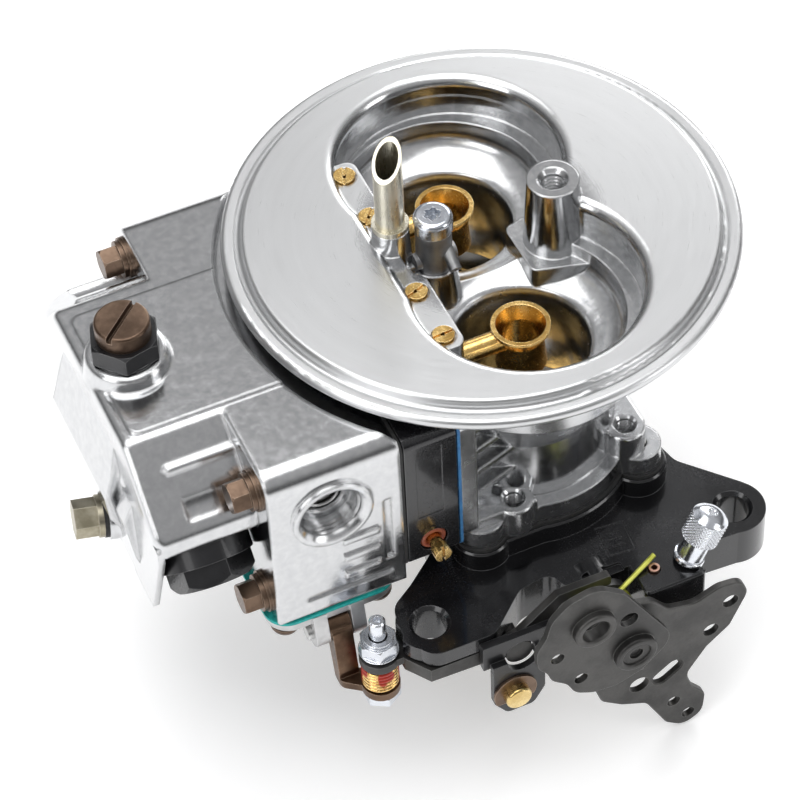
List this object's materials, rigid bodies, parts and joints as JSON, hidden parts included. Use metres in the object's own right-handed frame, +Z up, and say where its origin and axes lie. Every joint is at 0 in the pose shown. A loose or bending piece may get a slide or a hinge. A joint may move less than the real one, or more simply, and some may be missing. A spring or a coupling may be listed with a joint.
{
  "type": "carburetor",
  "caption": "Two-barrel carburetor: polished bowl and air horn on a black base plate, with float, accelerator pump, adjusting screws and a hinged throttle linkage.",
  "frame": {"origin": "on the mounting face, midway between the two throttle bores", "axes": "+Z up out of the mounting face, +X to the rear away from the fuel bowl, throttle levers on -Y"},
  "size_m": [0.1966, 0.1719, 0.1691],
  "materials": {
    "black_anodised": "gloss black anodised",
    "gasket_black": "matt black gasket paper",
    "gasket_blue": "matt blue gasket paper",
    "polished_aluminium": "polished",
    "brass_parts": "satin",
    "nozzle_zinc": "grey cast zinc",
    "bright_zinc": "bright zinc plate",
    "nickel_tube": "brushed pale nickel",
    "steel_parts": "satin",
    "rubber_seals": "matt",
    "bronze_screws": "dark bronze plated",
    "black_plugs": "black semi-gloss",
    "olive_zinc": "olive zinc plate",
    "black_float": "matt foam",
    "bronze_filter": "sintered",
    "teal_diaphragm": "matt",
    "cast_zinc": "cast silver",
    "plunger_plastic": "satin",
    "bronze_arm": "bronze-brown plated",
    "gold_spring": "satin",
    "grey_phosphate": "grey phosphate",
    "yellow_spring": "yellow-green plated wire",
    "cam_plastic": "satin",
    "black_bracket": "black",
    "gold_screw": "satin",
    "copper_tube": "copper"
  },
  "bodies": {
    "housing": {"throttle_body": "black_anodised", "throttle_body_gasket": "gasket_black", "throttle_body_screws": "steel_parts", "main_body": "polished_aluminium", "boosters": "brass_parts", "air_bleeds": "brass_parts", "discharge_nozzle": "nozzle_zinc", "nozzle_screw": "bright_zinc", "vent_tube": "nickel_tube", "metering_block": "black_anodised", "metering_body_gasket": "gasket_blue", "bowl_gasket": "gasket_black", "main_jets": "brass_parts", "power_valve": "steel_parts", "mixture_screw_seals": "rubber_seals", "fuel_bowl": "polished_aluminium", "bowl_screws": "bronze_screws", "bowl_screw_washers": "bronze_screws", "side_plug": "black_plugs", "front_plug": "olive_zinc", "front_plug_seal": "gasket_black", "needle_seat": "brass_parts", "seat_adjusting_nut": "black_plugs", "seat_lock_screw": "bronze_screws", "float_pin": "steel_parts", "inlet_filter_spring": "steel_parts", "inlet_filter": "bronze_filter", "pump_diaphragm": "teal_diaphragm", "pump_cover": "cast_zinc", "pump_cover_screws": "bronze_screws", "pump_return_spring": "steel_parts", "pump_arm_pin": "steel_parts", "operating_lever_pin": "grey_phosphate", "return_spring": "yellow_spring", "lever_bracket": "black_bracket", "bracket_screw": "gold_screw", "bracket_clip": "bronze_screws", "vacuum_tube": "copper_tube"},
    "throttle": {"throttle_shaft": "grey_phosphate", "throttle_plates": "brass_parts", "throttle_plate_screws": "steel_parts", "throttle_lever": "grey_phosphate", "link_plate": "grey_phosphate", "pump_cam": "cam_plastic"},
    "operating_lever": {"pump_operating_lever": "grey_phosphate"},
    "pump_rocker": {"pump_arm": "bronze_arm", "pump_bolt": "bright_zinc", "pump_nut": "bright_zinc", "pump_duration_spring": "gold_spring"},
    "plunger": {"pump_plunger": "plunger_plastic"},
    "check_needle": {"pump_check_needle": "steel_parts"},
    "float_arm": {"float": "black_float"},
    "needle": {"inlet_needle": "steel_parts"},
    "idle_screw": {"idle_speed_screw": "bright_zinc"},
    "near_mixture_screw": {"mixture_screw_near": "brass_parts"},
    "far_mixture_screw": {"mixture_screw_far": "brass_parts"}
  },
  "joints": [
    {"name": "throttle_turn", "type": "hinge", "parent": "housing", "child": "throttle", "pos_m": [0, 0, 0.0075], "axis": [0, 1, 0], "range_deg": [0, 78], "stiffness_Nm_per_rad": 0.06, "springref_deg": -34.38},
    {"name": "operating_lever_rock", "type": "hinge", "parent": "housing", "child": "operating_lever", "pos_m": [-0.027, -0.0754, 0.004], "axis": [0, 1, 0], "range_deg": [-2.3, 0]},
    {"name": "pump_arm_rock", "type": "hinge", "parent": "housing", "child": "pump_rocker", "pos_m": [-0.0695, -0.052, 0.01], "axis": [1, 0, 0], "range_deg": [0, 6.45], "deforming": ["pump_duration_spring"]},
    {"name": "plunger_slide", "type": "slide", "parent": "housing", "child": "plunger", "axis": [0, 0, 1], "range_m": [0, 0.0018], "deforming": ["pump_return_spring"]},
    {"name": "check_needle_lift", "type": "slide", "parent": "housing", "child": "check_needle", "axis": [0, 0, 1], "range_m": [0, 0.0015]},
    {"name": "float_hinge", "type": "hinge", "parent": "housing", "child": "float_arm", "pos_m": [-0.1058, 0, 0.057], "axis": [0, 1, 0], "range_deg": [0, 8]},
    {"name": "needle_slide", "type": "slide", "parent": "housing", "child": "needle", "axis": [0, 0, 1], "range_m": [-0.0003, 0]},
    {"name": "idle_screw_turn", "type": "hinge", "parent": "housing", "child": "idle_screw", "pos_m": [0.0252, -0.0765, 0.0134], "axis": [0.3819, -0.03, 0.9237], "range_deg": [-180, 180]},
    {"name": "near_mixture_turn", "type": "hinge", "parent": "housing", "child": "near_mixture_screw", "pos_m": [-0.0406, -0.055, 0.0336], "axis": [0, 1, 0], "range_deg": [-180, 180]},
    {"name": "far_mixture_turn", "type": "hinge", "parent": "housing", "child": "far_mixture_screw", "pos_m": [-0.0406, 0.051, 0.0336], "axis": [0, 1, 0], "range_deg": [-180, 180]}
  ],
  "couplings": [
    {"joint": "operating_lever_rock", "follows": "throttle_turn", "ratio": -0.0292},
    {"joint": "pump_arm_rock", "follows": "throttle_turn", "ratio": 0.0819},
    {"joint": "plunger_slide", "follows": "throttle_turn", "m_per_rad": 0.00131},
    {"joint": "needle_slide", "follows": "float_hinge", "m_per_rad": -0.002}
  ]
}
